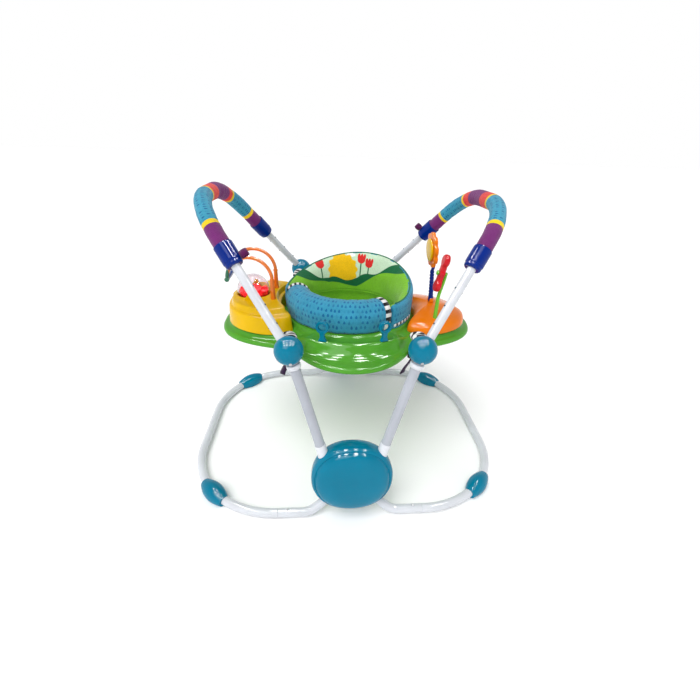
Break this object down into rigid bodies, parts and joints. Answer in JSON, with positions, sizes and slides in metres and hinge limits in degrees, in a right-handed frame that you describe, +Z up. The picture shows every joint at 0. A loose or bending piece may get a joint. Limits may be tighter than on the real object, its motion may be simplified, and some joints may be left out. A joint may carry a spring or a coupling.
{
  "type": "baby jumper",
  "caption": "Free-standing activity jumper: a tube floor loop and two padded arches carry a sprung tray with a turning fabric seat and moving toys.",
  "frame": {"origin": "on the floor, under the middle of the seat opening", "axes": "+X to the flower side, +Y to the side away from the seat's front, +Z up"},
  "size_m": [0.961, 0.775, 0.8115],
  "materials": {
    "teal_plastic": "smooth moulded",
    "white_tube": "gloss powder coat",
    "steel": "plain",
    "white_plastic": "smooth moulded",
    "grip_fabric": "printed jersey over foam",
    "blue_plastic": "smooth moulded",
    "purple_webbing": "woven webbing",
    "cover_fabric": "striped cloth",
    "green_plastic": "smooth moulded",
    "black_plastic": "moulded",
    "yellow_plastic": "smooth moulded",
    "orange_plastic": "smooth moulded",
    "lime_plastic": "smooth moulded",
    "red_plastic": "smooth moulded",
    "seat_fabric": "padded cloth",
    "bolster_fabric": "padded printed cloth",
    "clear_shell": "clear moulded"
  },
  "bodies": {
    "frame": {"front_hub_cover": "teal_plastic", "front_hub_back": "teal_plastic", "back_hub_cover": "teal_plastic", "back_hub_back": "teal_plastic", "hub_tubes": "white_tube", "base_tube_front_left": "white_tube", "base_tube_front_right": "white_tube", "base_tube_back_left": "white_tube", "base_tube_back_right": "white_tube", "floor_feet_front": "teal_plastic", "floor_feet_back": "teal_plastic", "lower_leg_front_left": "white_tube", "lower_leg_front_right": "white_tube", "lower_leg_back_left": "white_tube", "lower_leg_back_right": "white_tube", "leg_sleeves": "white_plastic", "leg_collars": "white_plastic", "ball_front_left": "teal_plastic", "ball_front_right": "teal_plastic", "ball_back_left": "teal_plastic", "ball_back_right": "teal_plastic", "ball_screws": "steel", "strap_guides": "steel", "suspension_springs": "steel", "arch_tube_left": "white_tube", "arch_tube_right": "white_tube", "grip_left": "grip_fabric", "grip_right": "grip_fabric", "grip_caps_left": "blue_plastic", "grip_caps_right": "blue_plastic", "arch_studs": "teal_plastic", "hang_loops": "purple_webbing", "strap_runs": "purple_webbing", "straps": "purple_webbing", "strap_covers": "cover_fabric"},
    "tray": {"tray_shell": "green_plastic", "seat_track": "white_plastic", "strap_buckles": "black_plastic", "strap_tails": "purple_webbing", "left_toy_base": "yellow_plastic", "right_toy_base": "orange_plastic", "ball_cradle": "yellow_plastic", "toy_rings": "teal_plastic", "bead_rails": "orange_plastic", "spinner_stem": "lime_plastic"},
    "seat": {"seat_ring": "white_plastic", "seat_wall": "seat_fabric", "bolster": "bolster_fabric", "seat_sling": "seat_fabric"},
    "toy_ball": {"toy_ball_shell": "clear_shell", "toy_ball_core": "red_plastic"},
    "flower": {"flower_stem": "blue_plastic", "flower_petals": "orange_plastic", "flower_disc": "yellow_plastic"},
    "spinner": {"spinner": "red_plastic"},
    "button_front_left": {"snap_button_front_left": "steel"},
    "button_front_right": {"snap_button_front_right": "steel"},
    "button_back_left": {"snap_button_back_left": "steel"},
    "button_back_right": {"snap_button_back_right": "steel"}
  },
  "joints": [
    {"name": "tray_bounce", "type": "slide", "parent": "frame", "child": "tray", "axis": [0, 0, 1], "range_m": [-0.1, 0], "stiffness_N_per_m": 900, "springref_m": 0.07, "deforming": ["straps", "strap_covers"]},
    {"name": "seat_swivel", "type": "hinge", "parent": "tray", "child": "seat", "pos_m": [0, 0, 0.464], "axis": [0, 0, 1], "continuous": true},
    {"name": "ball_spin", "type": "hinge", "parent": "tray", "child": "toy_ball", "pos_m": [-0.275, 0, 0.532], "axis": [0, 1, 0], "continuous": true},
    {"name": "flower_bend", "type": "hinge", "parent": "tray", "child": "flower", "pos_m": [0.249, 0, 0.5066], "axis": [0, 1, 0], "range_deg": [-20, 20], "stiffness_Nm_per_rad": 2},
    {"name": "spinner_spin", "type": "hinge", "parent": "tray", "child": "spinner", "pos_m": [0.237, -0.1, 0.619], "axis": [-0.9816, 0, 0.1908], "continuous": true},
    {"name": "button_press_front_left", "type": "slide", "parent": "frame", "child": "button_front_left", "axis": [0, 0, 1], "range_m": [-0.004, 0], "stiffness_N_per_m": 600, "springref_m": 0.003},
    {"name": "button_press_front_right", "type": "slide", "parent": "frame", "child": "button_front_right", "axis": [0, 0, 1], "range_m": [-0.004, 0], "stiffness_N_per_m": 600, "springref_m": 0.003},
    {"name": "button_press_back_left", "type": "slide", "parent": "frame", "child": "button_back_left", "axis": [0, 0, 1], "range_m": [-0.004, 0], "stiffness_N_per_m": 600, "springref_m": 0.003},
    {"name": "button_press_back_right", "type": "slide", "parent": "frame", "child": "button_back_right", "axis": [0, 0, 1], "range_m": [-0.004, 0], "stiffness_N_per_m": 600, "springref_m": 0.003}
  ]
}
